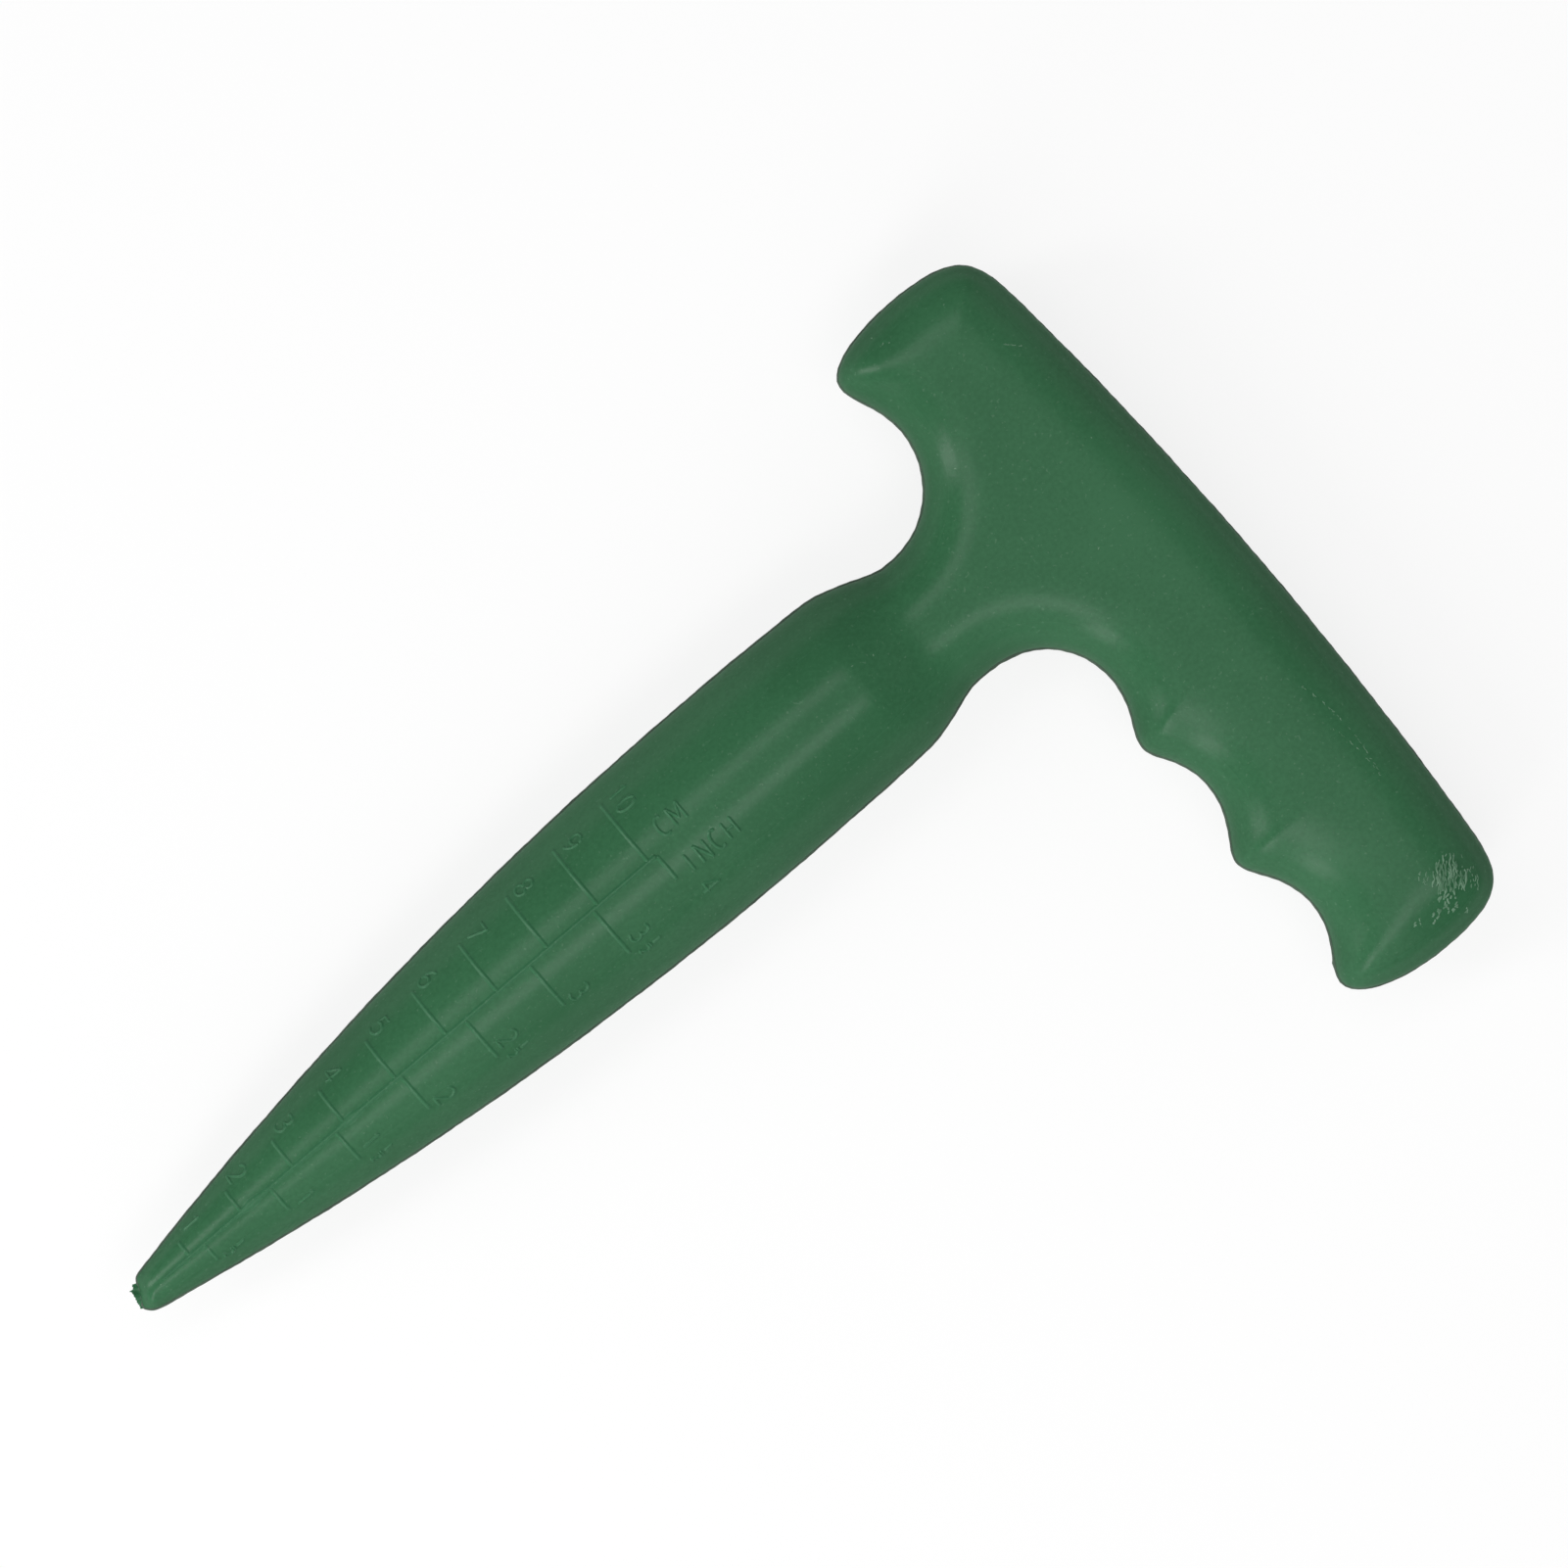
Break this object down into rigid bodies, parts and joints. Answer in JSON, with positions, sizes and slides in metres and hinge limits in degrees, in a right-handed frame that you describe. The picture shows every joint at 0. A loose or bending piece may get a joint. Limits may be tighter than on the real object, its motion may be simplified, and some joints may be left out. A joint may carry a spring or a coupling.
{
  "type": "seedling transplanter",
  "caption": "T-handled plastic dibber with a tapered round spike, a raised depth scale and finger grooves, pushed into soil to make planting holes.",
  "frame": {"origin": "middle of the bottom of the tool's box, with the tool lying flat and the depth scale up", "axes": "+X along the spike from its nose to the palm edge, +Y towards the handle's short arm, +Z square to the plane of the T, out of the face with the depth scale"},
  "size_m": [0.1996, 0.127, 0.0297],
  "materials": {
    "shell_plastic": "semi-matte moulded",
    "bead_plastic": "trimmed moulding seam"
  },
  "bodies": {
    "root": {"front_shell": "shell_plastic", "rear_shell": "shell_plastic", "seam_bead": "bead_plastic"}
  },
  "joints": []
}
